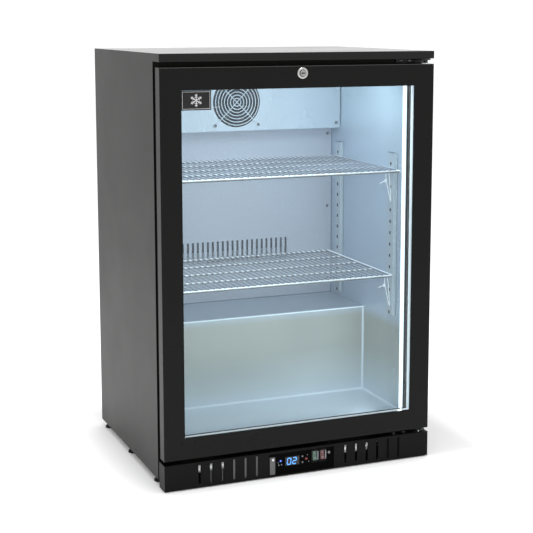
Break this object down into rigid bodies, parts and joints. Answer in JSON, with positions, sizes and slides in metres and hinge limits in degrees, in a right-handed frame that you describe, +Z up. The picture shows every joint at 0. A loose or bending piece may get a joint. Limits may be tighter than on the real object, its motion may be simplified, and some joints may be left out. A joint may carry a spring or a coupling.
{
  "type": "undercounter refrigerator",
  "caption": "Free-standing undercounter bottle cooler with one hinged glass door, wire shelves, a finned cooling circuit and a louvred control plinth.",
  "frame": {"origin": "on the floor, under the middle of the object's bounding box", "axes": "+Z up; the door faces -Y; +X is the right side as one faces the door, where the hinges are"},
  "size_m": [0.6, 0.497, 0.88],
  "materials": {
    "black_paint": "satin",
    "black_aluminium": "satin",
    "black_steel": "satin",
    "galvanised": "satin",
    "embossed_aluminium": "satin",
    "fin_aluminium": "satin",
    "upright_steel": "satin",
    "chrome_wire": "polished",
    "chrome_lock": "polished",
    "spring_steel": "satin",
    "screw_steel": "satin",
    "copper": "satin",
    "foam": "matte",
    "black_plastic": "satin",
    "black_rubber": "matte",
    "black_seal": "matte",
    "white_nylon": "satin",
    "grey_key": "satin",
    "red_key": "satin",
    "green_rocker": "gloss",
    "red_rocker": "gloss",
    "smoked_lens": "gloss",
    "badge_plate": "gloss",
    "door_glass": "polished",
    "led_light": "satin"
  },
  "bodies": {
    "cabinet": {"side_panel_left": "black_paint", "side_panel_right": "black_paint", "top_panel": "black_paint", "face_frame": "black_paint", "bottom_panel": "galvanised", "base_frame": "galvanised", "back_panel": "galvanised", "rear_grille": "galvanised", "inner_liner": "embossed_aluminium", "air_duct_panel": "embossed_aluminium", "evaporator_cover": "embossed_aluminium", "insulation": "foam", "rear_bumpers": "black_rubber", "plinth_grille": "black_paint", "control_bezel": "black_plastic", "controller_lens": "smoked_lens", "control_housings": "black_plastic", "evaporator_coil": "fin_aluminium", "evaporator_fan_housing": "black_plastic", "fan_guard": "chrome_wire", "pilasters": "upright_steel", "shelf_clips": "upright_steel", "shelf_ties": "white_nylon", "led_channel": "fin_aluminium", "led_diffuser": "led_light", "hinge_brackets": "black_steel", "compressor": "black_steel", "compressor_mounts": "black_rubber", "condenser": "fin_aluminium", "condenser_fan_motor": "black_steel", "refrigerant_circuit": "copper", "drip_tray": "black_plastic", "cord_gland": "black_plastic", "cabinet_screws": "screw_steel"},
    "door": {"door_frame": "black_aluminium", "door_inner_frame": "black_plastic", "door_gasket": "black_seal", "glass_outer": "door_glass", "glass_inner": "door_glass", "glass_spacer": "fin_aluminium", "badge": "badge_plate", "hinge_bushes": "white_nylon", "closer_spring": "spring_steel", "lock_housing": "chrome_lock"},
    "lock_cylinder": {"lock_cylinder": "chrome_lock"},
    "upper_shelf": {"upper_shelf": "chrome_wire"},
    "lower_shelf": {"lower_shelf": "chrome_wire"},
    "evaporator_fan": {"evaporator_fan_rotor": "black_plastic"},
    "condenser_fan": {"condenser_fan_rotor": "black_plastic"},
    "button_up": {"button_up": "grey_key"},
    "button_down": {"button_down": "grey_key"},
    "button_power": {"button_power": "red_key"},
    "green_rocker": {"green_rocker": "green_rocker"},
    "red_rocker": {"red_rocker": "red_rocker"},
    "foot_front_left": {"foot_front_left": "black_plastic"},
    "foot_middle_left": {"foot_middle_left": "black_plastic"},
    "foot_rear_left": {"foot_rear_left": "black_plastic"},
    "foot_front_right": {"foot_front_right": "black_plastic"},
    "foot_middle_right": {"foot_middle_right": "black_plastic"},
    "foot_rear_right": {"foot_rear_right": "black_plastic"}
  },
  "joints": [
    {"name": "door_hinge", "type": "hinge", "parent": "cabinet", "child": "door", "pos_m": [0.288, -0.23, 0.459], "axis": [0, 0, 1], "range_deg": [0, 105], "stiffness_Nm_per_rad": 0.6, "springref_deg": -34.38},
    {"name": "lock_turn", "type": "hinge", "parent": "door", "child": "lock_cylinder", "pos_m": [0, -0.2435, 0.8385], "axis": [0, 1, 0], "range_deg": [0, 90]},
    {"name": "upper_shelf_lift", "type": "slide", "parent": "cabinet", "child": "upper_shelf", "axis": [0, 0, 1], "range_m": [0, 0.02]},
    {"name": "lower_shelf_lift", "type": "slide", "parent": "cabinet", "child": "lower_shelf", "axis": [0, 0, 1], "range_m": [0, 0.02]},
    {"name": "evaporator_fan_spin", "type": "hinge", "parent": "cabinet", "child": "evaporator_fan", "pos_m": [0, 0.1435, 0.758], "axis": [0, 1, 0], "continuous": true},
    {"name": "condenser_fan_spin", "type": "hinge", "parent": "cabinet", "child": "condenser_fan", "pos_m": [0.156, 0.148, 0.118], "axis": [1, 0, 0], "continuous": true},
    {"name": "button_up_press", "type": "slide", "parent": "cabinet", "child": "button_up", "axis": [0, 1, 0], "range_m": [0, 0.0008], "stiffness_N_per_m": 800},
    {"name": "button_down_press", "type": "slide", "parent": "cabinet", "child": "button_down", "axis": [0, 1, 0], "range_m": [0, 0.0008], "stiffness_N_per_m": 800},
    {"name": "button_power_press", "type": "slide", "parent": "cabinet", "child": "button_power", "axis": [0, 1, 0], "range_m": [0, 0.0008], "stiffness_N_per_m": 800},
    {"name": "green_rocker_tilt", "type": "hinge", "parent": "cabinet", "child": "green_rocker", "pos_m": [0.031, -0.237, 0.035], "axis": [1, 0, 0], "range_deg": [0, 16]},
    {"name": "red_rocker_tilt", "type": "hinge", "parent": "cabinet", "child": "red_rocker", "pos_m": [0.049, -0.237, 0.035], "axis": [1, 0, 0], "range_deg": [0, 16]},
    {"name": "foot_front_left_turn", "type": "hinge", "parent": "cabinet", "child": "foot_front_left", "pos_m": [-0.284, -0.166, 0.01], "axis": [0, 0, 1], "continuous": true},
    {"name": "foot_middle_left_turn", "type": "hinge", "parent": "cabinet", "child": "foot_middle_left", "pos_m": [-0.284, 0.028, 0.01], "axis": [0, 0, 1], "continuous": true},
    {"name": "foot_rear_left_turn", "type": "hinge", "parent": "cabinet", "child": "foot_rear_left", "pos_m": [-0.284, 0.22, 0.01], "axis": [0, 0, 1], "continuous": true},
    {"name": "foot_front_right_turn", "type": "hinge", "parent": "cabinet", "child": "foot_front_right", "pos_m": [0.284, -0.166, 0.01], "axis": [0, 0, 1], "continuous": true},
    {"name": "foot_middle_right_turn", "type": "hinge", "parent": "cabinet", "child": "foot_middle_right", "pos_m": [0.284, 0.028, 0.01], "axis": [0, 0, 1], "continuous": true},
    {"name": "foot_rear_right_turn", "type": "hinge", "parent": "cabinet", "child": "foot_rear_right", "pos_m": [0.284, 0.22, 0.01], "axis": [0, 0, 1], "continuous": true}
  ]
}
